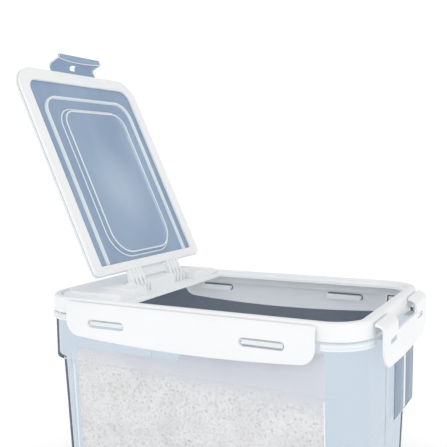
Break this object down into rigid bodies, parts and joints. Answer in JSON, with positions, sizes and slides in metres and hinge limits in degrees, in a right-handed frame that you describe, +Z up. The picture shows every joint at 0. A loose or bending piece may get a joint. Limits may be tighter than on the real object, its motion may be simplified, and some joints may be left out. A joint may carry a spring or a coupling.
{
  "type": "pet food bin",
  "caption": "Airtight pet food bin: a clear tapered tub under a white frame held by side locking flaps, with a clear hinged door that snaps shut over the lip.",
  "frame": {"origin": "centre of the tub's flat base, on the surface it stands on", "axes": "+Z up from the base, +X along the lid from the hinge deck to the latch, +Y towards the back"},
  "size_m": [0.3913, 0.232, 0.5061],
  "materials": {
    "clear_blue": "transparent blue-tinted polypropylene, smooth",
    "white_plastic": "satin moulded polypropylene",
    "silicone": "soft translucent silicone",
    "steel": "ground pin",
    "card": "printed sheet, pale speckle"
  },
  "bodies": {
    "bin": {"tub": "clear_blue", "insert_card": "card", "lid_frame": "white_plastic", "lid_gasket": "silicone", "hinge_pin_front": "steel", "hinge_pin_back": "steel"},
    "door": {"door_border": "white_plastic", "door_seal": "silicone", "door_panel": "clear_blue"},
    "flap_front": {"front_flap": "white_plastic"},
    "flap_back": {"back_flap": "white_plastic"},
    "flap_right": {"right_flap": "white_plastic"},
    "flap_left": {"left_flap": "white_plastic"}
  },
  "joints": [
    {"name": "door_hinge", "type": "hinge", "parent": "bin", "child": "door", "pos_m": [-0.097, 0, 0.251], "axis": [0, 1, 0], "range_deg": [0, 115]},
    {"name": "front_flap_hinge", "type": "hinge", "parent": "bin", "child": "flap_front", "pos_m": [0, -0.113, 0.2455], "axis": [-1, 0, 0], "range_deg": [0, 110]},
    {"name": "back_flap_hinge", "type": "hinge", "parent": "bin", "child": "flap_back", "pos_m": [0, 0.113, 0.2455], "axis": [1, 0, 0], "range_deg": [0, 110]},
    {"name": "right_flap_hinge", "type": "hinge", "parent": "bin", "child": "flap_right", "pos_m": [0.172, 0, 0.2455], "axis": [0, -1, 0], "range_deg": [0, 110]},
    {"name": "left_flap_hinge", "type": "hinge", "parent": "bin", "child": "flap_left", "pos_m": [-0.172, 0, 0.2455], "axis": [0, 1, 0], "range_deg": [0, 110]}
  ]
}
